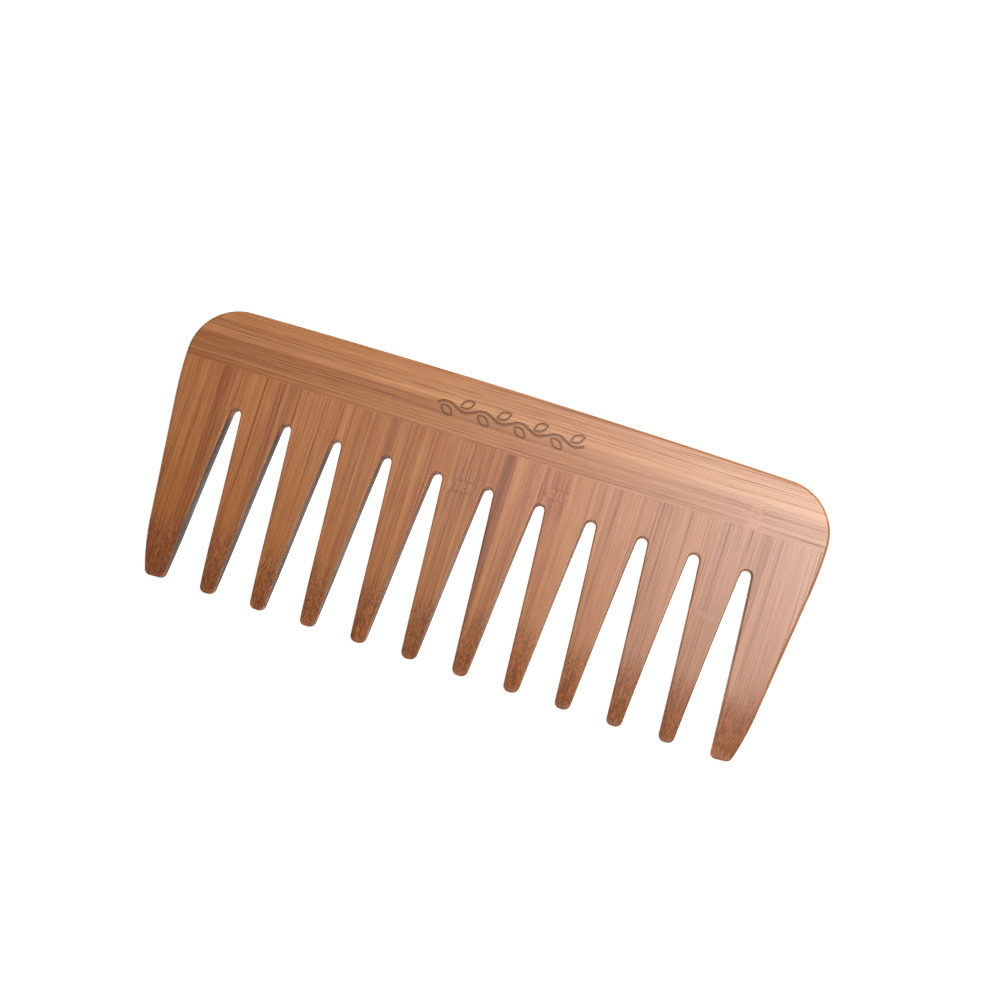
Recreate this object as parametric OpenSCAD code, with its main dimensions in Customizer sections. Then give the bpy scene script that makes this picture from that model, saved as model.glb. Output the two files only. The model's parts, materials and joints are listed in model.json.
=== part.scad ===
// Wide tooth comb sawn from one laminated bamboo board.
// The teeth are cut from a row of strips whose grain runs along the teeth. Two lengthwise
// strips, glued across the top of the row, make the spine and stop the teeth splitting off.
// X runs along the comb, +Y points from the tooth tips to the spine, Z is the thickness.
// The origin is at the middle of the length and height, on the lower face.

/* [Board] */
// Length from end to end, at the widest place
comb_length = 150.6; // [110:0.1:185]
// Height from the tooth tips to the top of the spine
comb_height = 64.5; // [62:0.1:78]
// How far the back rises from its corners to its middle
back_crown = 0.8; // [0.2:0.1:2]
// Thickness of the board
board_thickness = 5.5; // [4.4:0.1:7]

/* [Ends] */
// Radius of the two upper corners
corner_radius = 12; // [8:0.5:16]
// Angle at which the straight part of each end leans in
end_lean = 6.7; // [4:0.1:9]
// Radius of the arc from the upper corner to the leaning part
end_blend_radius = 96; // [60:1:120]
// Radius of the arc that sweeps each end in to its tooth tip
end_tip_radius = 66; // [50:1:120]
// Height of that swept part above the tooth tips
end_tip_height = 12; // [6:0.5:16]

/* [Teeth] */
// Distance from the middle of one gap to the next
gap_pitch = 12; // [9:0.1:16]
// Width of each gap at the tooth tips
gap_tip_width = 8.5; // [5:0.1:8.9]
// Width of each gap at its closed end
gap_root_width = 2.5; // [1.6:0.1:4]
// Depth of each gap, from the tooth tips to its closed end
gap_depth = 41.7; // [30:0.1:47]
// Radius of the long curve along each side of a gap
gap_side_radius = 1500; // [600:50:3000]
// Least width of the outermost teeth at the tip
end_tooth_min_width = 4.2; // [3:0.1:8]
// Radius of each tooth's two corners at the tip
tip_corner_radius = 1.5; // [0.6:0.1:1.6]
// Thickness of a tooth at its rounded tip
tip_thickness = 2.6; // [2:0.1:4]
// Length over which each tooth is ground thinner
bevel_length = 16; // [8:0.5:24]

/* [Strips] */
// Width of one bamboo strip in the tooth row
strip_width = 6.73; // [5:0.01:9]
// How far the middle strip lies from the middle of the comb
strip_shift = 0.73; // [0:0.01:2]
// Least width of the strip at each end of the row
end_strip_min_width = 2; // [1:0.1:3]
// Width of one lengthwise strip in the spine
spine_strip_width = 6.6; // [5.5:0.05:8]

/* [Tongue] */
// Thickness of the tongue on the tooth strips
tongue_thickness = 1.8; // [1.2:0.1:2.4]
// Height of the tongue above the glue line
tongue_height = 3.5; // [2:0.1:4.5]
// Least distance from the end of the comb to the end of the tongue
tongue_end_inset = 3.5; // [3:0.5:12]
// Clearance left for glue round the tongue
glue_clearance = 0.05; // [0.02:0.01:0.15]

/* [Hidden] */
overshoot = 1;
$fn = 96;
bevel_fn = 360;

half_length = comb_length / 2;
tip_y = -comb_height / 2;
top_y = comb_height / 2;
shoulder_y = top_y - back_crown;
glue_line_y = shoulder_y - 2 * spine_strip_width;
spine_seam_y = shoulder_y - spine_strip_width;
middle_z = board_thickness / 2;

// Upper corner arc: the end of the comb stands upright where it stops.
corner_x = half_length - corner_radius;
corner_y = shoulder_y - corner_radius;

// Blend arc: from upright to the lean of the straight part.
blend_x = half_length - end_blend_radius;
lean_top_x = blend_x + end_blend_radius * cos(end_lean);
lean_top_y = corner_y - end_blend_radius * sin(end_lean);

// Straight part: down to where the end starts to sweep in.
lean_low_y = tip_y + end_tip_height;
lean_low_x = lean_top_x - (lean_top_y - lean_low_y) * tan(end_lean);

// Tip sweep: an arc that leaves the straight part smoothly.
sweep_x = lean_low_x - end_tip_radius * cos(end_lean);
sweep_y = lean_low_y + end_tip_radius * sin(end_lean);
end_tip_x = sweep_x + sqrt(pow(end_tip_radius, 2) - pow(sweep_y - tip_y, 2));

// Long curve of a gap's side, through its root edge and its tip edge.
root_y = tip_y + gap_depth - gap_root_width / 2;
side_run = [(gap_tip_width - gap_root_width) / 2, root_y - tip_y];
side_middle = [(gap_tip_width + gap_root_width) / 4, (root_y + tip_y) / 2];
side_offset = sqrt(pow(gap_side_radius, 2) - pow(norm(side_run) / 2, 2));
side_centre = side_middle - side_offset * [side_run[1], side_run[0]] / norm(side_run);
side_steps = 8;

// The side curve, from the root down to a little beyond the tips.
function side_x(y) = side_centre[0] + sqrt(pow(gap_side_radius, 2) - pow(y - side_centre[1], 2));
side_curve = [
    for (step = [0 : side_steps])
        let (y = root_y - (root_y - tip_y + overshoot) * step / side_steps)
            [side_x(y), y]
];

// Gaps: as many as leave a tooth of the least width at each end.
gaps_each_side = floor((end_tip_x - end_tooth_min_width - gap_tip_width / 2) / gap_pitch);

// Small circles that round a tooth's corners, tangent to its tip and its side.
corner_centre_y = tip_y + tip_corner_radius;
gap_corner_x = side_centre[0]
    + sqrt(pow(gap_side_radius + tip_corner_radius, 2) - pow(corner_centre_y - side_centre[1], 2));
end_corner_x = sweep_x
    + sqrt(pow(end_tip_radius - tip_corner_radius, 2) - pow(corner_centre_y - sweep_y, 2));

// Outline of the right end, from its tooth tip up to the back.
arc_step = 5;
end_corner_angle = atan2(corner_centre_y - sweep_y, end_corner_x - sweep_x);
function arc(centre, radius, from_angle, to_angle) =
    let (steps = ceil((to_angle - from_angle) / arc_step))
        [
            for (step = [0 : steps])
                let (angle = from_angle + (to_angle - from_angle) * step / steps)
                    centre + radius * [cos(angle), sin(angle)]
        ];
right_end = concat(
    arc([end_corner_x, corner_centre_y], tip_corner_radius, -90, end_corner_angle),
    arc([sweep_x, sweep_y], end_tip_radius, end_corner_angle, -end_lean),
    arc([blend_x, corner_y], end_blend_radius, -end_lean, 0),
    arc([corner_x, corner_y], corner_radius, 0, 90)
);

// The slightly curved back, from the right corner to the left one.
back_steps = 24;
back = [
    for (step = [1 : back_steps - 1])
        let (share = 1 - 2 * step / back_steps)
            [corner_x * share, shoulder_y + back_crown * (1 - share * share)]
];

// Ground bevel of the teeth: an arc tangent to the board's face.
tip_round = tip_thickness / 2;
bevel_run = bevel_length - tip_round;
bevel_drop = middle_z - tip_round;
bevel_radius = (pow(bevel_run, 2) + pow(bevel_drop, 2)) / (2 * bevel_drop);

// Strips in the tooth row, enough to cover the whole length.
left_reach = half_length + strip_shift - end_strip_min_width;
right_reach = half_length - strip_shift - end_strip_min_width;
strips_left = ceil(left_reach / strip_width - 0.5);
strips_right = ceil(right_reach / strip_width - 0.5);
strip_count = strips_left + 1 + strips_right;
tongue_limit = half_length - tongue_end_inset;

function two_digits(number) = str(number < 10 ? "0" : "", number);
function strip_name(number) = str("tooth_strip_", two_digits(number));
function seam_x(number) = strip_shift + (number - strips_left - 0.5) * strip_width;
function strip_left_x(number) = number == 1 ? -half_length : seam_x(number - 1);
function strip_right_x(number) = number == strip_count ? half_length : seam_x(number);
function has_tongue(number) =
    strip_left_x(number) >= -tongue_limit && strip_right_x(number) <= tongue_limit;

tongued_strips = [for (number = [1 : strip_count]) if (has_tongue(number)) number];
tongue_left_x = strip_left_x(tongued_strips[0]);
tongue_right_x = strip_right_x(tongued_strips[len(tongued_strips) - 1]);

// Outline of the comb before the gaps are sawn: the right end, the back, then the left end.
module outline() {
    last = len(right_end) - 1;
    left_end = [for (index = [0 : last]) [-right_end[last - index][0], right_end[last - index][1]]];
    polygon(concat(right_end, back, left_end));
}

// Side view of a tooth: full thickness down to the bevel, then ground to a round tip.
module side_profile() {
    bevel_y = tip_y + bevel_length;
    translate([bevel_y, 0])
        square([comb_height, board_thickness]);
    translate([tip_y + tip_round, middle_z])
        circle(tip_round);
    intersection() {
        intersection_for (z = [bevel_radius, board_thickness - bevel_radius])
            translate([bevel_y, z])
                circle(bevel_radius, $fn = bevel_fn);
        translate([tip_y + tip_round, 0])
            square([bevel_run, board_thickness]);
    }
}

// The whole board with its ground teeth, before the gaps are sawn.
module blank() {
    intersection() {
        linear_extrude(board_thickness)
            outline();
        rotate([90, 0, 90])
            translate([0, 0, -half_length])
                linear_extrude(comb_length)
                    side_profile();
    }
}

// Outline of one gap: two long curves meeting a round closed end.
module gap_outline() {
    for (side = [0, 1])
        mirror([side, 0])
            polygon(concat(
                [[-gap_root_width / 4, tip_y - overshoot], [-gap_root_width / 4, root_y]],
                side_curve
            ));
    translate([0, root_y])
        circle(gap_root_width / 2);
}

// What is cut away to round a tooth's corner. The tooth lies towards +X of it. The corner's
// circle has its middle at centre_x, and outward points from there to the tooth's side.
module tip_corner_cut(centre_x, outward) {
    centre = [centre_x, corner_centre_y];
    difference() {
        polygon([
            centre,
            centre + (tip_corner_radius + overshoot) * outward,
            [centre_x - tip_corner_radius - overshoot, tip_y - overshoot],
            [centre_x, tip_y - overshoot]
        ]);
        translate(centre)
            circle(tip_corner_radius);
    }
}

// One gap, with the rounded corners of the teeth on both sides of it.
module gap_cut() {
    to_side = side_centre - [gap_corner_x, corner_centre_y];
    translate([0, 0, -overshoot])
        linear_extrude(board_thickness + 2 * overshoot) {
            gap_outline();
            for (side = [0, 1])
                mirror([side, 0, 0])
                    tip_corner_cut(gap_corner_x, to_side / norm(to_side));
        }
}

// Every cut that reaches a strip between two places along the comb.
module cuts_between(left_x, right_x) {
    reach = gap_tip_width / 2 + tip_corner_radius + overshoot;
    for (index = [-gaps_each_side : gaps_each_side])
        if (index * gap_pitch + reach > left_x && index * gap_pitch - reach < right_x)
            translate([index * gap_pitch, 0, 0])
                gap_cut();
}

// One strip of the tooth row, with its grain along the teeth.
module tooth_strip(number) {
    left_x = strip_left_x(number);
    right_x = strip_right_x(number);
    color("peru") {
        difference() {
            intersection() {
                blank();
                translate([left_x, tip_y, 0])
                    cube([right_x - left_x, glue_line_y - tip_y, board_thickness]);
            }
            cuts_between(left_x, right_x);
        }
        if (has_tongue(number))
            translate([left_x, glue_line_y - tongue_height, middle_z - tongue_thickness / 2])
                cube([right_x - left_x, 2 * tongue_height, tongue_thickness]);
    }
}

// One lengthwise strip of the spine, between two heights.
module spine_strip(low_y, high_y) {
    intersection() {
        blank();
        translate([-half_length, low_y, 0])
            cube([comb_length, high_y - low_y, board_thickness]);
    }
}

module spine_lower_strip() {
    groove_width = tongue_thickness + 2 * glue_clearance;
    groove_length = tongue_right_x - tongue_left_x + 2 * glue_clearance;
    groove_depth = tongue_height + glue_clearance;
    color("burlywood")
        difference() {
            spine_strip(glue_line_y, spine_seam_y);
            translate([tongue_left_x - glue_clearance, glue_line_y - overshoot, middle_z - groove_width / 2])
                cube([groove_length, groove_depth + overshoot, groove_width]);
        }
}

module spine_upper_strip() {
    color("tan")
        spine_strip(spine_seam_y, top_y);
}

for (number = [1 : strip_count])
    tooth_strip(number);
spine_lower_strip();
spine_upper_strip();
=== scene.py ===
import bpy
import bmesh
import json
import math
import random
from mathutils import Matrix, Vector
from mathutils.geometry import delaunay_2d_cdt


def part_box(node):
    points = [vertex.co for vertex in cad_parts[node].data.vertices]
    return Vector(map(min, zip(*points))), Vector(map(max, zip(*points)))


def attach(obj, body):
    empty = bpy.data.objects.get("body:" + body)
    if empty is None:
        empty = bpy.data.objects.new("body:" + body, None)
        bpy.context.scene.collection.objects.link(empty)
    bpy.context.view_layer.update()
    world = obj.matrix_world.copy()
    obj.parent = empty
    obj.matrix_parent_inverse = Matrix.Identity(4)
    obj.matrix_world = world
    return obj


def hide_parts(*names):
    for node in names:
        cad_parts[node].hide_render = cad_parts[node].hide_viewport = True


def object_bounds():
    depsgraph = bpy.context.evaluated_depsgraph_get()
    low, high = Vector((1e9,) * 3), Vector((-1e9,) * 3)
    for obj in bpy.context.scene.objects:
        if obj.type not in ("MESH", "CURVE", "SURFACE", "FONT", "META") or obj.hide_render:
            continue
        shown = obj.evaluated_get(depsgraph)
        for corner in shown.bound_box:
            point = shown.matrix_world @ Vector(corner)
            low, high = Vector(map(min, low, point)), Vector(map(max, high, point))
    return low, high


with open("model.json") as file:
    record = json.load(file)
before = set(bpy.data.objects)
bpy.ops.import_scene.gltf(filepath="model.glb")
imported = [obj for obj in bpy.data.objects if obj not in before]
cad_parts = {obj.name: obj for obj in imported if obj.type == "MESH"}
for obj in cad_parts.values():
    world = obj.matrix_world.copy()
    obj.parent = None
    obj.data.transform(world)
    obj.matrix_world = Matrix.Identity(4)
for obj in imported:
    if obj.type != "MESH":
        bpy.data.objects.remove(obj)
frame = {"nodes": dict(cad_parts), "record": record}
cadLow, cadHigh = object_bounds()

mm = 0.001  # outlines and materials are worked out in millimetres
onPlane = 1e-8  # metres within which a point counts as lying on a cutting plane
sameSpot = 1e-5  # millimetres within which the points of a filled face are merged
sharpAngle = math.radians(38)
halfLength = cadHigh.x / mm
tipY = cadLow.y / mm
topY = cadHigh.y / mm
middleZ = (cadLow.z + cadHigh.z) / 2 / mm
halfBoard = (cadHigh.z - cadLow.z) / 2 / mm
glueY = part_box("spine_lower_strip")[0].y / mm
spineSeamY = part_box("spine_lower_strip")[1].y / mm
toothNodes = sorted(name for name in frame["nodes"] if name.startswith("tooth_strip_"))
gapBoxes = [opening["box_m"] for opening in frame["record"]["physics"]["openings"]]
gapCentres = sorted({round((low[0] + high[0]) / 2 / mm, 2) for low, high in gapBoxes})
print("frame loaded:", len(toothNodes), "tooth strips,", len(gapCentres), "gaps")

# The camera looks down on the comb, a little from its right, with the comb turned across the frame.
viewpoint = {"place": (46.0, -14.5, 455.0), "turn": (4.361, 4.324, 17.848), "lens": 73.14, "nearest": 10.0}

cameraData = bpy.data.cameras.new("camera")
cameraData.lens = viewpoint["lens"]
cameraData.clip_start = viewpoint["nearest"] * mm
camera = bpy.data.objects.new("camera", cameraData)
camera.location = Vector(viewpoint["place"]) * mm
camera.rotation_euler = [math.radians(angle) for angle in viewpoint["turn"]]
bpy.context.collection.objects.link(camera)
bpy.context.scene.camera = camera
bpy.context.scene.view_settings.view_transform = "Standard"
print("camera placed")


class Signal:
    # One output socket in a material. Arithmetic on it adds Math nodes.
    def __init__(self, tree, socket=None):
        self.tree = tree
        self.socket = socket

    def node(self, kind, settings=None, sockets=None, output=0, stops=None):
        # adds any node: its settings and a ramp's stops first, then the values or links of its sockets
        made = self.tree.nodes.new("ShaderNode" + kind)
        for name, value in (settings or {}).items():
            setattr(made, name, value)
        if stops:
            ramp = made.color_ramp
            while len(ramp.elements) < len(stops):
                ramp.elements.new(0.5)
            for element, (place, shade) in zip(ramp.elements, stops):
                element.position = place
                element.color = (*shade, 1)
        for name, value in (sockets or {}).items():
            if isinstance(value, Signal):
                self.tree.links.new(value.socket, made.inputs[name])
            else:
                made.inputs[name].default_value = value
        return Signal(self.tree, made.outputs[output])

    def math(self, operation, *values):
        return self.node("Math", {"operation": operation}, dict(enumerate(values)))

    def __add__(self, other):
        return self.math("ADD", self, other)

    def __sub__(self, other):
        return self.math("SUBTRACT", self, other)

    def __rsub__(self, other):
        return self.math("SUBTRACT", other, self)

    def __mul__(self, other):
        return self.math("MULTIPLY", self, other)

    def __truediv__(self, other):
        return self.math("DIVIDE", self, other)

    __radd__ = __add__
    __rmul__ = __mul__

    def size(self):
        return self.math("ABSOLUTE", self)

    def least(self, other):
        return self.math("MINIMUM", self, other)

    def most(self, other):
        return self.math("MAXIMUM", self, other)

    def rise(self, start, end):
        # 0 before start and 1 after end, smooth between; a start above the end gives a fall
        low, high = min(start, end), max(start, end)
        ends = {1: low, 2: high, 3: 0.0 if start < end else 1.0, 4: 1.0 if start < end else 0.0}
        return self.node("MapRange", {"interpolation_type": "SMOOTHSTEP"}, {0: self, **ends})

    def hump(self, middle, width):
        # 1 at the middle, falling to 0 at that distance on both sides
        return (self - middle).size().rise(width, 0.0)

    def noise(self, detail, roughness, seed):
        # fractal noise at this vector, about 0.5 in the mean
        sockets = {"Vector": self, "W": seed, "Scale": 1.0, "Detail": detail, "Roughness": roughness}
        return self.node("TexNoise", {"noise_dimensions": "4D"}, sockets)

    def mix(self, amount, other):
        # this colour where amount is 0, the other where it is 1
        return self.node("Mix", {"data_type": "RGBA"}, {0: amount, 6: self, 7: other}, output=2)

    def scaled(self, amount):
        # this vector times a value
        return self.node("VectorMath", {"operation": "SCALE"}, {0: self, "Scale": amount})

    def tinted(self, colour):
        # this colour times another
        return self.node("VectorMath", {"operation": "MULTIPLY"}, {0: self, 1: colour})


def vectorOf(x, y, z):
    return x.node("CombineXYZ", None, {0: x, 1: y, 2: z})


# The comb's outline is worked out from these sizes, in millimetres.
board = {
    "cornerRadius": 12.0,  # the two upper corners
    "blendRadius": 96.0, "lean": 6.7,  # each end leans in below its corner
    "crown": 0.8,  # the back rises this much from its corners to its middle
    "sweepRadius": 66.0, "sweepHeight": 12.0,  # and sweeps in to the outer tooth tip
    "edgeInset": 0.75, "edgeDrop": 1.1,  # rounding of the outer arris, across the face and down the side
    "softBelow": 7.0,  # the outer arris turns into the teeth's softer one at this height above the tips
    "arrisBlend": 3,  # points over which one arris changes into the next
    "step": 1.4,  # spacing of the outline's points
    "arcSteps": 12,  # an arc has at least this many
    "filletSteps": 8, "roundSteps": 7,  # steps round a tooth's corner and over an arris
    "faceMargin": 0.15,  # flat strip that is left between the rounding and the filled face
    "thinShare": 0.85,  # an arris takes no more than this share of half the thickness
}

gaps = {
    "tipWidth": 8.5, "rootWidth": 2.5, "depth": 41.7, "bulge": 0.14,
    "inset": 0.3, "drop": 0.9,  # rounding of the arrises along a gap
    "squareInset": 0.3, "squareDrop": 0.35,  # the first tooth's inner arris is left nearly square,
    "squareShare": 0.45,  # over this share of its gap's outline
}

bevel = {"length": 16.0, "tipThickness": 2.6}  # each tooth is ground thinner towards its tip

# How each tooth's tip was finished by hand: height left on its left and right corner, and their radii.
tipShapes = [
    (0.0, 0.25, 1.5, 1.3), (0.0, 0.1, 1.5, 1.6), (0.1, 0.0, 1.5, 1.5), (0.0, 0.1, 1.35, 1.45),
    (0.05, 0.0, 1.5, 1.65), (0.0, 0.1, 1.6, 1.6), (0.0, 0.0, 1.65, 1.5), (0.05, 0.0, 1.5, 1.65),
    (0.0, 0.05, 1.5, 1.5), (0.0, 0.0, 1.4, 1.5), (0.0, 0.3, 1.6, 1.4), (0.0, 0.3, 1.3, 1.35),
]


def halfThickness(y):
    # of the board at a height, with the ground bevel of the teeth
    drop = halfBoard - bevel["tipThickness"] / 2
    longest = bevel["length"] - bevel["tipThickness"] / 2
    radius = (longest**2 + drop**2) / (2 * drop)
    run = min(max(tipY + bevel["length"] - y, 0), longest)
    return halfBoard - radius + math.sqrt(radius**2 - run**2)


def halfGap(y):
    # half the width of a gap at a height, with its slightly bulging sides
    share = (y - tipY) / (gaps["depth"] - gaps["rootWidth"] / 2)
    straight = gaps["tipWidth"] / 2 + (gaps["rootWidth"] - gaps["tipWidth"]) / 2 * share
    return straight + 4 * gaps["bulge"] * share * (1 - share)


def arcPoints(x, y, radius, fromAngle, toAngle):
    length = abs(math.radians(toAngle - fromAngle)) * radius
    count = max(board["arcSteps"], math.ceil(length / board["step"]))
    angles = [math.radians(fromAngle + (toAngle - fromAngle) * step / count) for step in range(count + 1)]
    return [(x + radius * math.cos(angle), y + radius * math.sin(angle)) for angle in angles]


def endPoints():
    # the right end, from its tooth tip up to the top edge
    lean = math.radians(board["lean"])
    cornerY = topY - board["crown"] - board["cornerRadius"]
    blendX = halfLength - board["blendRadius"]
    lowY = tipY + board["sweepHeight"]
    topX = blendX + board["blendRadius"] * math.cos(lean)
    lowX = topX - (cornerY - board["blendRadius"] * math.sin(lean) - lowY) * math.tan(lean)
    sweepX = lowX - board["sweepRadius"] * math.cos(lean)
    sweepY = lowY + board["sweepRadius"] * math.sin(lean)
    tipAngle = math.degrees(math.asin((tipY - sweepY) / board["sweepRadius"]))
    return (arcPoints(sweepX, sweepY, board["sweepRadius"], tipAngle, -board["lean"])
            + arcPoints(blendX, cornerY, board["blendRadius"], -board["lean"], 0)
            + arcPoints(halfLength - board["cornerRadius"], cornerY, board["cornerRadius"], 0, 90)[1:])


def gapPoints(x):
    # a gap from the left tooth's side over the closed end and down the right tooth's side
    rootY = tipY + gaps["depth"] - gaps["rootWidth"] / 2
    count = round((rootY - tipY) / board["step"])
    heights = [tipY + (rootY - tipY) * step / count for step in range(2, count)]
    left = [(x - halfGap(y), y) for y in heights]
    right = [(x + halfGap(y), y) for y in reversed(heights)]
    return left + arcPoints(x, rootY, gaps["rootWidth"] / 2, 180, 0) + right


def filletPoints(before, corner, after, radius):
    # rounds a corner between two straight runs
    toBefore = (Vector(before) - Vector(corner)).normalized()
    toAfter = (Vector(after) - Vector(corner)).normalized()
    half = toBefore.angle(toAfter) / 2
    centre = Vector(corner) + (toBefore + toAfter).normalized() * radius / math.sin(half)
    start = Vector(corner) + toBefore * radius / math.tan(half) - centre
    turn = math.pi - 2 * half
    steps = board["filletSteps"]
    points = []
    for step in range(steps + 1):
        angle = turn * step / steps
        cosine, sine = math.cos(angle), math.sin(angle)
        x = centre.x + start.x * cosine - start.y * sine
        y = centre.y + start.x * sine + start.y * cosine
        points.append((x, y))
    return points


def combOutline():
    # points of the whole outline, counterclockwise, each with its arris (inset, drop)
    soft = (gaps["inset"], gaps["drop"])
    square = (gaps["squareInset"], gaps["squareDrop"])
    outer = (board["edgeInset"], board["edgeDrop"])
    rightEnd = endPoints()
    leftEnd = [(-x, y) for x, y in reversed(rightEnd)]
    above = tipY + 2 * board["step"]
    outline = []
    for index, (leftLift, rightLift, leftRadius, rightRadius) in enumerate(tipShapes):
        leftX, leftAbove = leftEnd[-1][0], leftEnd[-3]
        if index > 0:
            leftX = gapCentres[index - 1] + halfGap(tipY)
            leftAbove = (gapCentres[index - 1] + halfGap(above), above)
        rightX, rightAbove = rightEnd[0][0], rightEnd[2]
        if index < len(gapCentres):
            rightX = gapCentres[index] - halfGap(tipY)
            rightAbove = (gapCentres[index] - halfGap(above), above)
        leftCorner, rightCorner = (leftX, tipY + leftLift), (rightX, tipY + rightLift)
        tip = filletPoints(leftAbove, leftCorner, rightCorner, leftRadius)
        tip += filletPoints(leftCorner, rightCorner, rightAbove, rightRadius)
        outline += [(point, soft) for point in tip]
        if index < len(gapCentres):
            points = gapPoints(gapCentres[index])
            for number, point in enumerate(points):
                isSquare = index == 0 and number < gaps["squareShare"] * len(points)
                outline.append((point, square if isSquare else soft))
    topCount = round(2 * rightEnd[-1][0] / board["step"])
    shares = [1 - 2 * step / topCount for step in range(1, topCount)]
    topEdge = [(rightEnd[-1][0] * share, topY - board["crown"] * share**2) for share in shares]
    for point in rightEnd[2:] + topEdge + leftEnd[:-2]:
        outline.append((point, outer if point[1] > tipY + board["softBelow"] else soft))
    return outline


def smoothArris(outline, window):
    # lets the arris change gradually along the outline
    count = len(outline)
    reach = range(-window, window + 1)
    smoothed = []
    for index, (point, _) in enumerate(outline):
        near = [outline[(index + offset) % count][1] for offset in reach]
        smoothed.append((point, [sum(pair[part] for pair in near) / len(near) for part in (0, 1)]))
    return smoothed


def inwardNormals(points):
    count = len(points)
    normals = []
    for index in range(count):
        before, after = Vector(points[index - 1]), Vector(points[(index + 1) % count])
        along = (after - before).normalized()
        normals.append(Vector((-along.y, along.x)))
    return normals


def wholeComb():
    # The comb as one closed mesh, before it is parted into strips: rings of points from the middle
    # of the side wall over the rounded arris to the flat face, on both faces.
    outline = smoothArris(combOutline(), board["arrisBlend"])
    points = [point for point, _ in outline]
    normals = inwardNormals(points)
    count = len(points)
    bm = bmesh.new()

    def ring(turn, extra, face):
        made = []
        for (x, y), (inset, drop), normal in zip(points, (arris for _, arris in outline), normals):
            move = inset * (1 - math.cos(turn)) + extra
            x, y = x + normal.x * move, y + normal.y * move
            half = halfThickness(y)
            down = min(drop, board["thinShare"] * half) * (1 - math.sin(turn))
            z = middleZ + face * (half - down)
            made.append(bm.verts.new((x * mm, y * mm, z * mm)))
        return made

    middle = [bm.verts.new((x * mm, y * mm, middleZ * mm)) for x, y in points]
    for face in (1, -1):
        turns = [math.pi / 2 * step / board["roundSteps"] for step in range(board["roundSteps"] + 1)]
        rings = [middle] + [ring(turn, 0, face) for turn in turns]
        rings.append(ring(math.pi / 2, board["faceMargin"], face))
        for lower, upper in zip(rings, rings[1:]):
            for index in range(count):
                corner = (index + 1) % count
                quad = [lower[index], lower[corner], upper[corner], upper[index]]
                bm.faces.new(quad if face == 1 else quad[::-1])
        flat = [Vector(vert.co.xy) / mm for vert in rings[-1]]
        edges = [(index, (index + 1) % count) for index in range(count)]
        filled = delaunay_2d_cdt(flat, edges, [list(range(count))], 1, sameSpot)
        sources = [origin[0] for origin in filled[3]]
        for triangle in filled[2]:
            corners = [rings[-1][sources[index]] for index in triangle]
            bm.faces.new(corners if face == 1 else corners[::-1])
    bmesh.ops.recalc_face_normals(bm, faces=bm.faces)
    return bm


def partedAt(source, cuts):
    # a copy of the mesh, cut at planes and closed again; each normal points to what is taken away
    bm = source.copy()
    for place, normal in cuts:
        everything = bm.verts[:] + bm.edges[:] + bm.faces[:]
        cut = bmesh.ops.bisect_plane(bm, geom=everything, dist=onPlane, plane_co=place, plane_no=normal,
                                     clear_outer=True)
        edges = [item for item in cut["geom_cut"] if isinstance(item, bmesh.types.BMEdge)]
        bmesh.ops.triangle_fill(bm, use_beauty=True, edges=edges)
    bmesh.ops.recalc_face_normals(bm, faces=bm.faces)
    return bm


whole = wholeComb()
toothRow = partedAt(whole, [((0, glueY * mm, 0), (0, 1, 0))])
spine = partedAt(whole, [((0, glueY * mm, 0), (0, -1, 0))])
print("outline made:", len(whole.verts), "points")

# Tongue and groove, hidden in the glue line.
tongue = {"thickness": 1.8, "height": 3.5, "endInset": 3.5, "clearance": 0.05}


def pushBand(bm, planes, rise):
    # pushes out or in the part of the face on the glue line that lies between the planes
    def isOnGlueLine(face):
        return all(abs(vert.co.y - glueY * mm) < 10 * onPlane for vert in face.verts)

    for place, normal in planes:
        faces = [face for face in bm.faces if isOnGlueLine(face)]
        around = {edge for face in faces for edge in face.edges}
        around |= {vert for face in faces for vert in face.verts}
        bmesh.ops.bisect_plane(bm, geom=faces + list(around), dist=onPlane, plane_co=place, plane_no=normal)
    band = []
    for face in bm.faces:
        middle = face.calc_center_median()
        inside = all((middle - Vector(place)).dot(Vector(normal)) < 0 for place, normal in planes)
        if inside and isOnGlueLine(face):
            band.append(face)
    made = bmesh.ops.extrude_face_region(bm, geom=band)["geom"]
    bmesh.ops.translate(bm, verts=[item for item in made if isinstance(item, bmesh.types.BMVert)],
                        vec=(0, rise * mm, 0))
    kept = [face for face in band if face.is_valid]
    if kept:
        bmesh.ops.delete(bm, geom=kept, context="FACES_ONLY")
    bmesh.ops.recalc_face_normals(bm, faces=bm.faces)


def bandPlanes(half):
    return [((0, 0, (middleZ + half) * mm), (0, 0, 1)), ((0, 0, (middleZ - half) * mm), (0, 0, -1))]


def addPiece(name, bm, body, node):
    mesh = bpy.data.meshes.new(name)
    bm.to_mesh(mesh)
    mesh.shade_smooth()
    mesh.set_sharp_from_angle(angle=sharpAngle)
    piece = bpy.data.objects.new(name, mesh)
    bpy.context.collection.objects.link(piece)
    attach(piece, body)
    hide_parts(node)
    return piece


toothStrips = []
tongued = []
tongueLimit = halfLength - tongue["endInset"]
for node in toothNodes:
    low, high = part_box(node)
    left, right = low.x, high.x
    cuts = []
    if left > cadLow.x + mm:
        cuts.append(((left, 0, 0), (-1, 0, 0)))
    if right < cadHigh.x - mm:
        cuts.append(((right, 0, 0), (1, 0, 0)))
    strip = partedAt(toothRow, cuts)
    if left / mm >= -tongueLimit and right / mm <= tongueLimit:
        pushBand(strip, bandPlanes(tongue["thickness"] / 2), tongue["height"])
        tongued += [left, right]
    toothStrips.append(addPiece("toothStrip" + node[-2:], strip, "root", node))

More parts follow.
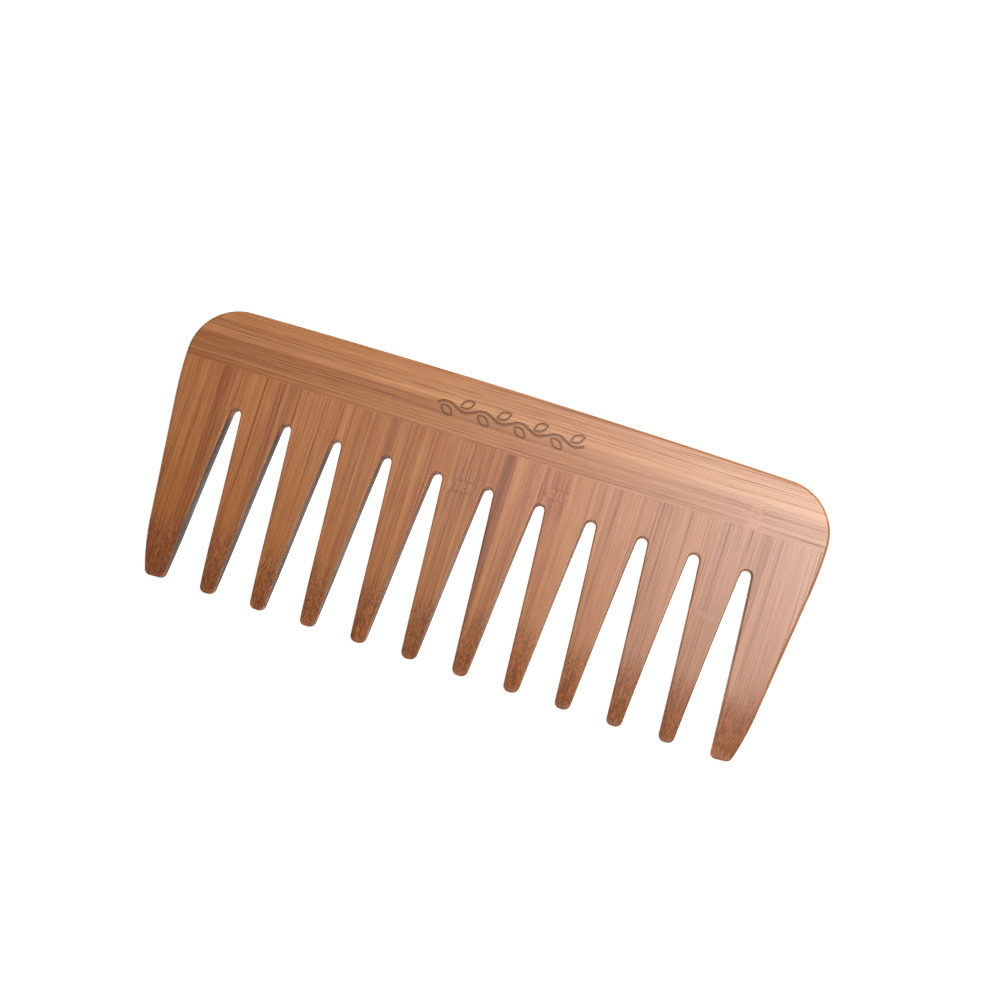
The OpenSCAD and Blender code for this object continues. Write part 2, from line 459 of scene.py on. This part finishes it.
lowerSpine = partedAt(spine, [((0, spineSeamY * mm, 0), (0, 1, 0))])
upperSpine = partedAt(spine, [((0, spineSeamY * mm, 0), (0, -1, 0))])
clearance = tongue["clearance"]
groovePlanes = bandPlanes(tongue["thickness"] / 2 + clearance)
groovePlanes.append(((min(tongued) - clearance * mm, 0, 0), (-1, 0, 0)))
groovePlanes.append(((max(tongued) + clearance * mm, 0, 0), (1, 0, 0)))
pushBand(lowerSpine, groovePlanes, tongue["height"] + clearance)
spineStrips = [addPiece("spineLowerStrip", lowerSpine, "root", "spine_lower_strip"),
               addPiece("spineUpperStrip", upperSpine, "root", "spine_upper_strip")]
print("strips parted:", len(toothStrips), "in the tooth row and", len(spineStrips), "in the spine")

# A sprig of leaves, engraved and burnt into the upper face of the spine.
sprig = {
    "left": -17.0, "right": 17.4, "middleY": 24.7,
    "waves": 4, "swing": 0.75, "stroke": 0.66, "depth": 0.3,
    "leafLength": 3.3, "leafWidth": 1.7, "leafStroke": 0.5, "leafTilt": 32,
    "leafFullness": 0.85, "leafLag": 0.12, "leafStart": (0.5, 0.35),
    "floorShare": 0.55, "mouthShare": 1.2,  # a stroke is narrower at its floor and wider above the face
    "stemSteps": 72, "leafSteps": 9,
}


def strokeMesh(bm, path, width, closed):
    # a ribbon along a path, as a solid that reaches from below the engraved depth to above the face
    count = len(path)
    loops = []
    for index, point in enumerate(path):
        before = path[index - 1] if closed or index else point
        after = path[(index + 1) % count] if closed or index < count - 1 else point
        along = (Vector(after) - Vector(before)).normalized()
        side = Vector((-along.y, along.x)) * width / 2
        low, high = middleZ + halfBoard - sprig["depth"], middleZ + halfBoard + sprig["depth"]
        floorSide, mouthSide = side * sprig["floorShare"], side * sprig["mouthShare"]
        corners = []
        for reach, z in ((floorSide, low), (-floorSide, low), (-mouthSide, high), (mouthSide, high)):
            spot = Vector(point) + reach
            corners.append(bm.verts.new((spot.x * mm, spot.y * mm, z * mm)))
        loops.append(corners)
    pairs = list(zip(loops, loops[1:] + loops[:1])) if closed else list(zip(loops, loops[1:]))
    for first, second in pairs:
        for index in range(4):
            corner = (index + 1) % 4
            bm.faces.new([first[index], first[corner], second[corner], second[index]])
    if not closed:
        bm.faces.new(loops[0])
        bm.faces.new(loops[-1])


def leafPath(x, y, tilt, length, width):
    # a pointed leaf outline, its stalk end at x, y
    path = []
    steps = sprig["leafSteps"]
    for side in (1, -1):
        for step in range(steps):
            share = step / steps if side == 1 else 1 - step / steps
            along = length * share
            across = side * width / 2 * math.sin(math.pi * share) ** sprig["leafFullness"]
            path.append((x + along * math.cos(tilt) - across * math.sin(tilt),
                         y + along * math.sin(tilt) + across * math.cos(tilt)))
    return path


def sprigCutter():
    bm = bmesh.new()
    length = sprig["right"] - sprig["left"]
    count = sprig["stemSteps"]
    stem = []
    for step in range(count + 1):
        share = step / count
        swing = sprig["swing"] * math.sin(2 * math.pi * sprig["waves"] * share)
        stem.append((sprig["left"] + length * share, sprig["middleY"] + swing))
    strokeMesh(bm, stem, sprig["stroke"], False)
    for wave in range(2 * sprig["waves"]):
        up = 1 if wave % 2 else -1  # leaves stand in the hollows of the stem
        startX, startY = sprig["leafStart"]
        x = sprig["left"] + length * (wave + sprig["leafLag"]) / (2 * sprig["waves"]) + startX
        y = sprig["middleY"] + up * startY
        tilt = up * math.radians(sprig["leafTilt"])
        path = leafPath(x, y, tilt, sprig["leafLength"], sprig["leafWidth"])
        strokeMesh(bm, path, sprig["leafStroke"], True)
    bmesh.ops.recalc_face_normals(bm, faces=bm.faces)
    mesh = bpy.data.meshes.new("sprigCutter")
    bm.to_mesh(mesh)
    cutter = bpy.data.objects.new("sprigCutter", mesh)
    bpy.context.collection.objects.link(cutter)
    return cutter


def engrave(piece, cutter):
    sink = piece.modifiers.new("sprig", "BOOLEAN")
    sink.operation = "DIFFERENCE"
    sink.object = cutter
    sink.solver = "EXACT"
    sink.use_self = True
    bpy.context.view_layer.update()
    carved = bpy.data.meshes.new_from_object(piece.evaluated_get(bpy.context.evaluated_depsgraph_get()))
    piece.modifiers.clear()
    piece.data = carved
    carved.shade_smooth()
    carved.set_sharp_from_angle(angle=sharpAngle)


cutter = sprigCutter()
for piece in spineStrips:
    engrave(piece, cutter)
bpy.data.objects.remove(cutter)
print("sprig engraved")

# The colours of the steamed bamboo and how strongly each part of its figure shows.
bamboo = {
    "dark": (0.180, 0.050, 0.015), "mid": (0.355, 0.138, 0.048), "light": (0.470, 0.220, 0.096),
    # the first colour on the next line is painted shade for the gap walls, which lie in the shade of the
    # teeth
    "scorch": (0.036, 0.021, 0.012), "burn": (0.150, 0.060, 0.024), "edge": (0.230, 0.066, 0.022),
    "tips": (0.84, 0.77, 0.52),  # tint that the teeth take on towards their tips, partly the ground end grain and partly painted shade
    "band": 0.7, "streak": 0.5, "fibre": 1.9, "fine": 1.2, "line": 0.5, "dash": 0.38, "dots": 0.18,
    "wander": 1.1,  # how far the fibres stray, in millimetres
    "paleContrast": 0.3,  # contrast lost at the right end, where painted sheen washes out the grain
    "scorchRight": 0.4, "scorchLeft": 0.95,  # how dark the painted shade on the gap walls is at each end of the comb
    "burnish": 0.3, "burnDepth": 0.85,  # how strongly the outer arrises and the sprig are coloured
    "roughness": 0.37, "relief": 0.2, "reliefDepth": 0.00006,
}

# How fine each layer of the grain is across the fibres, along them and through the board, then its
# noise detail, its noise roughness and its own seed.
grainLayers = {
    "wander": (0.12, 0.02, 0.1, 1.0, 0.5, 0),
    "ripple": (0.9, 0.9, 0.9, 2.0, 0.6, 3),
    "band": (0.42, 0.006, 0.3, 1.0, 0.5, 11),
    "streak": (1.3, 0.01, 1.0, 2.0, 0.6, 23),
    "fibre": (4.4, 0.02, 3.0, 2.0, 0.6, 29),
    "fine": (9.0, 0.12, 6.0, 1.0, 0.6, 37),
    "even": (0.5, 0.012, 0.4, 0.0, 0.5, 41),
    "line": (2.1, 0.008, 1.5, 2.0, 0.5, 51),
    "patch": (0.35, 0.02, 0.3, 1.0, 0.5, 67),
    "swirl": (1.3, 2.6, 1.0, 2.0, 0.6, 71),
    "dash": (5.2, 1.3, 1.5, 0.0, 0.5, 83),
    "dots": (8.0, 3.4, 2.5, 0.0, 0.5, 97),
}


def grain(layer, across, run, z, seed):
    acrossScale, runScale, throughScale, detail, roughness, layerSeed = grainLayers[layer]
    place = vectorOf(across * acrossScale, run * runScale, z * throughScale)
    return place.noise(detail, roughness, seed + layerSeed)


def aroundKnuckle(spread, across, run, z, seed, knuckle):
    # the fibres are pushed apart and ripple where they pass a knuckle
    reach = (run - knuckle["run"]).size().rise(knuckle["length"] * 1.6, 0.0)
    beside = (across - knuckle["across"]) / knuckle["width"]
    spread = spread + reach * beside * knuckle["swing"]
    ripple = grain("ripple", across, run, z, seed) - 0.5
    return spread + ripple * reach * 3.0


def withKnuckle(value, line, wander, across, run, z, seed, knuckle):
    # a swirling patch with a dark rim, and dark fibres that fan out from it
    length, width = knuckle["length"], knuckle["width"]
    near = (run - knuckle["run"] + wander * 1.5).size()
    aside = (across - knuckle["across"]).size()
    inside = near.rise(length, length * 0.5) * aside.rise(width * 1.1, width * 0.75)
    swirl = grain("swirl", across, run, z, seed)
    value = value.node("Mix", None, {0: inside * 0.8, 2: value, 3: swirl * 0.7 + 0.28})
    rim = (near - length * 0.75).size().rise(0.5, 0.0) * aside.rise(width, width * 0.7)
    value = value - rim * (swirl - 0.25) * knuckle["rim"]
    fan = near.rise(length * 4.5, length) * (line - 0.5).size().rise(0.05, 0.01)
    return value - fan * 0.5 * knuckle["fan"]


def onBevels(value, ground, across, run, y, z, seed):
    # the ground bevels cut through the vessels, which show as short dashes and dots
    dash = grain("dash", across, run, z, seed)
    dots = grain("dots", across, run, z, seed)
    dashes = dash.rise(0.46, 0.62) * bamboo["dash"] + dots.rise(0.5, 0.7) * bamboo["dots"]
    dashes = dashes - dots.rise(0.4, 0.2) * 0.12
    # darker towards the tips as well, partly the ground end grain and partly painted shade
    return value - ground * dashes - ground * y.rise(tipY + 15, tipY) * 0.12


def bambooMaterial(name, along, seed, tone, warmth, lineCount=0.5, knuckle=None, streaks=(), pale=None):
    # Steamed bamboo with its fibres along X or Y. tone and warmth tint the whole strip; towards the right
    # a further tint paints in sheen, the whitish reflection of the light. streaks are (place across, half
    # width, strength).
    material = bpy.data.materials.new(name)
    material.use_nodes = True
    tree = material.node_tree
    tree.nodes.clear()
    place = Signal(tree).node("TexCoord", output=3).scaled(1 / mm)
    split = place.node("SeparateXYZ", None, {0: place})
    x, y, z = (Signal(tree, split.socket.node.outputs[axis]) for axis in range(3))
    run, across = (x, y) if along == "X" else (y, x)
    facing = Signal(tree).node("NewGeometry", output=1)
    upward = facing.node("SeparateXYZ", None, {0: facing}, output=2).size()

    # the fibres wander slightly, and make way for a knuckle
    wander = grain("wander", across, run, z, seed) - 0.5
    spread = across + wander * bamboo["wander"]
    if knuckle:
        spread = aroundKnuckle(spread, across, run, z, seed, knuckle)

    band = grain("band", spread, run, z, seed) - 0.5
    streak = grain("streak", spread, run, z, seed) - 0.5
    fibre = grain("fibre", spread, run, z, seed) - 0.5
    fine = grain("fine", spread, run, z, seed) - 0.5
    even = grain("even", spread, run, z, seed).rise(0.34, 0.56) * 0.8 + 0.35
    value = band * bamboo["band"] + streak * bamboo["streak"]
    value = value + fibre * even * bamboo["fibre"] + fine * bamboo["fine"] + 0.5

    # dark red-brown lines where a bundle of vessels runs just under the face
    line = grain("line", spread, run, z, seed)
    patch = grain("patch", spread, run, z, seed).rise(0.62 - 0.25 * lineCount, 0.80 - 0.25 * lineCount)
    lines = (line - 0.5).size().rise(0.022, 0.004) * patch
    value = value - lines * bamboo["line"]
    for middle, width, strength in streaks:
        value = value - across.hump(middle, width) * strength
    if knuckle:
        value = withKnuckle(value, line, wander, across, run, z, seed, knuckle)
    if along == "Y":
        ground = (y + wander * 6.0).rise(tipY + bevel["length"] + 1.0, tipY + bevel["length"] - 6.0)
        value = onBevels(value, ground, across, run, y, z, seed)
    # painted sheen: the grain loses contrast towards the right, as under the light's whitish reflection
    value = (value - 0.5) * (1 - x.rise(0, 70) * bamboo["paleContrast"]) + 0.5
    value = value.most(0.0).least(1.0)

    stops = [(0.0, bamboo["dark"]), (0.5, bamboo["mid"]), (1.0, bamboo["light"])]
    shade = value.node("ValToRGB", None, {0: value}, stops=stops)
    shade = shade.tinted((tone, tone * (1 - warmth), tone * (1 - 2 * warmth)))
    # the teeth darken towards their tips, less so on the right: partly the ground end grain and partly
    # painted shade where the bevels turn from the light
    if along == "Y":
        lower = y.rise(14, -25) * (1 - x.rise(5, 70) * 0.6)
        shade = shade.mix(lower, shade.tinted(bamboo["tips"]))
    # painted sheen: the spine strips turn paler towards the right, as under the light's whitish reflection
    if pale:  # only the spine strips
        shade = shade.mix(x.rise(-75, 5), shade.tinted(pale))

    # painted shade darkens the sawn gap walls, most of all on the left, where they lie in the shade of the
    # teeth; the outer arrises are darkened red-brown
    rootY = tipY + gaps["depth"]
    lastGapX = gapCentres[-1] + gaps["tipWidth"] / 2
    amongGaps = x.size().rise(lastGapX + 3.95, lastGapX + 2.55) * y.rise(rootY + 2, rootY + 1)
    wall = upward.rise(0.16, 0.04) * amongGaps
    wallShadeAmount = x.rise(5, -45) * (bamboo["scorchLeft"] - bamboo["scorchRight"]) + bamboo["scorchRight"]
    wallShadeAmount = wallShadeAmount * y.rise(rootY - 1, rootY - 4)
    shade = shade.mix(wall * wallShadeAmount, (*bamboo["scorch"], 1))
    # the outer arrises are darkened red-brown
    arris = upward.rise(0.6, 0.25) * (1 - amongGaps)
    shade = shade.mix(arris * bamboo["burnish"], (*bamboo["edge"], 1))

    # the engraved lines are burnt
    if along == "X":
        faceZ = middleZ + halfBoard
        depth = z.rise(faceZ - 0.01, faceZ - 0.12) * z.rise(middleZ, middleZ + 0.1)
        inside = x.size().rise(20.5, 19.5) * (y - sprig["middleY"]).size().rise(4.6, 4.0)
        shade = shade.mix(depth * inside * bamboo["burnDepth"], (*bamboo["burn"], 1))

    roughness = fine * 0.12 + bamboo["roughness"] + lines * 0.12 + (0.5 - value) * 0.1
    if along == "Y":
        roughness = roughness + ground * 0.08
    roughness = roughness + wall * 0.3
    height = value * 0.5 + (fine + 0.5) * 0.3 - lines * 0.4
    relief = {"Strength": bamboo["relief"], "Distance": bamboo["reliefDepth"], "Height": height}
    bump = height.node("Bump", None, relief)
    sockets = {"Base Color": shade, "Roughness": roughness, "Normal": bump}
    shader = shade.node("BsdfPrincipled", None, sockets)
    output = tree.nodes.new("ShaderNodeOutputMaterial")
    tree.links.new(shader.socket, output.inputs["Surface"])
    return material


# What differs from strip to strip in the tooth row, from the left end: tone and warmth, dark streaks
# and the knuckles of the cane.
toothTones = [
    (1.0, 0.1), (1.04, 0.11), (1.14, 0.08), (1.08, 0.08), (1.06, 0.06), (1.02, 0.1),
    (1.12, 0.05), (1.02, 0.09), (1.07, 0.07), (1.05, 0.11), (1.03, 0.05), (1.0, 0.14),
    (1.12, 0.07), (1.03, 0.16), (1.09, 0.08), (1.03, 0.11), (1.04, 0.1), (1.0, 0.08),
    (1.08, 0.07), (0.93, 0.11), (1.1, 0.06), (0.97, 0.11), (1.03, 0.03),
]
toothStreaks = {
    7: [(-27.5, 1.2, 0.15)], 8: [(-24.5, 2.0, 0.22)], 10: [(-10.0, 1.2, 0.25)],
    12: [(2.4, 2.2, 0.35)], 17: [(37.3, 0.35, 0.35)], 21: [(62.5, 2.4, 0.22)],
}
knuckles = {
    11: {"run": 8.2, "across": -5.8, "length": 1.7, "width": 2.9, "swing": 0.35, "fan": 1.0, "rim": 1.0},
    14: {"run": 12.6, "across": 15.2, "length": 1.7, "width": 2.4, "swing": 0.4, "fan": 1.3, "rim": 1.0},
    20: {"run": -3.0, "across": 54.0, "length": 1.1, "width": 2.6, "swing": 0.2, "fan": 0.2, "rim": 0.2},
}

# The spine's two strips, the lower one first; the tint in each that grows towards the right is painted
# sheen.
spineKnuckle = {
    "run": 58.0, "across": 21.0, "length": 2.4, "width": 3.0, "swing": 0.5, "fan": 0.5, "rim": 0.35,
}
spineLooks = [
    {"seed": 301.0, "tone": 0.92, "warmth": 0.08, "pale": (1.14, 1.17, 1.2), "lineCount": 0.8,
     "knuckle": spineKnuckle},
    {"seed": 333.0, "tone": 1.16, "warmth": 0.0, "pale": (1.17, 1.26, 1.32), "lineCount": 0.9,
     "knuckle": None},
]

random.seed(7)
for number, strip in enumerate(toothStrips, 1):
    tone, warmth = toothTones[(number - 1) % len(toothTones)]
    seed = 10 + 7.3 * number
    lineCount = random.uniform(0.3, 1.0)
    material = bambooMaterial("bambooTooth%02d" % number, "Y", seed, tone, warmth, lineCount,
                              knuckles.get(number), toothStreaks.get(number, ()))
    strip.data.materials.clear()
    strip.data.materials.append(material)
for strip, look in zip(spineStrips, spineLooks):
    title = "bamboo" + strip.name[0].upper() + strip.name[1:]
    material = bambooMaterial(title, "X", look["seed"], look["tone"], look["warmth"], look["lineCount"],
                              look["knuckle"], (), look["pale"])
    strip.data.materials.clear()
    strip.data.materials.append(material)
print("bamboo made")

# Floor and light. A large softbox stands to the upper right of the comb.
floorLook = {"size": 1.6, "shade": 0.92, "glow": 0.9, "roughness": 0.9, "gap": 0.00002}
light = {"place": (0.155, 0.11, 0.50), "size": 0.2, "power": 3.4, "sky": 0.06}

bm = bmesh.new()
half = floorLook["size"]
corners = []
for x, y in ((-1, -1), (1, -1), (1, 1), (-1, 1)):
    corners.append(bm.verts.new((x * half, y * half, cadLow.z - floorLook["gap"])))
bm.faces.new(corners)
mesh = bpy.data.meshes.new("floor")
bm.to_mesh(mesh)
floor = bpy.data.objects.new("floor", mesh)
bpy.context.collection.objects.link(floor)
paper = bpy.data.materials.new("paper")
paper.use_nodes = True
look = paper.node_tree.nodes["Principled BSDF"]
shade = floorLook["shade"]
look.inputs["Base Color"].default_value = (shade, shade, shade, 1)
look.inputs["Roughness"].default_value = floorLook["roughness"]
look.inputs["Specular IOR Level"].default_value = 0.0
look.inputs["Emission Color"].default_value = (1, 1, 1, 1)
look.inputs["Emission Strength"].default_value = floorLook["glow"]
mesh.materials.append(paper)

lamp = bpy.data.lights.new("softbox", "AREA")
lamp.shape = "SQUARE"
lamp.size = light["size"]
lamp.energy = light["power"]
softbox = bpy.data.objects.new("softbox", lamp)
softbox.location = light["place"]
softbox.rotation_euler = (-Vector(light["place"])).to_track_quat("-Z", "Y").to_euler()
bpy.context.collection.objects.link(softbox)

world = bpy.data.worlds.new("studio")
world.use_nodes = True
world.node_tree.nodes["Background"].inputs["Color"].default_value = (1, 1, 1, 1)
world.node_tree.nodes["Background"].inputs["Strength"].default_value = light["sky"]
bpy.context.scene.world = world
print("floor and light set")
